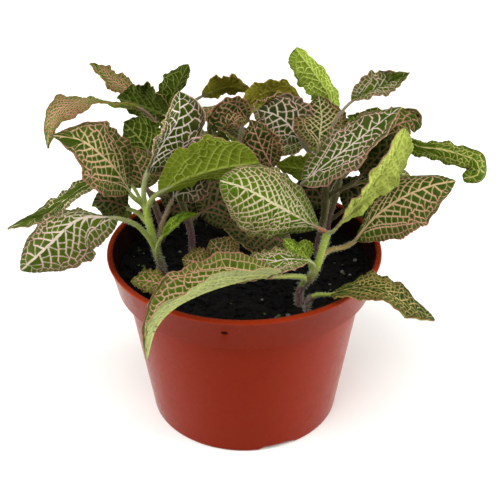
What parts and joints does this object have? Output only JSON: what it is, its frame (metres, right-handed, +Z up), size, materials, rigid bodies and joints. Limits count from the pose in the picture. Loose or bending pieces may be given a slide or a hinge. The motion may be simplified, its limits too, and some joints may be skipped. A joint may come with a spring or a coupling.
{
  "type": "potted nerve plant",
  "caption": "Low bushy foliage plant with veined oval leaves on short soft stems, in a round tapered plastic nursery pot filled with potting soil.",
  "frame": {"origin": "centre of the pot's flat underside, on the surface that it stands on", "axes": "+Z is up along the pot's axis, -Y is the side that the plant turns to the viewer, +X is to the viewer's right"},
  "size_m": [0.2021, 0.161, 0.1562],
  "materials": {
    "pot": "satin terracotta-red polypropylene",
    "soil": "dull near-black potting soil",
    "foliage": "soft satin green leaves and stems"
  },
  "bodies": {
    "root": {"pot": "pot", "soil": "soil", "stem_left": "foliage", "stem_right": "foliage", "stem_low_right": "foliage", "sprout_left": "foliage", "sprout_middle": "foliage", "stem_middle": "foliage", "stem_back_right": "foliage", "stem_back_left": "foliage", "stem_back": "foliage", "stem_far_left": "foliage", "stem_far_right": "foliage"}
  },
  "joints": []
}
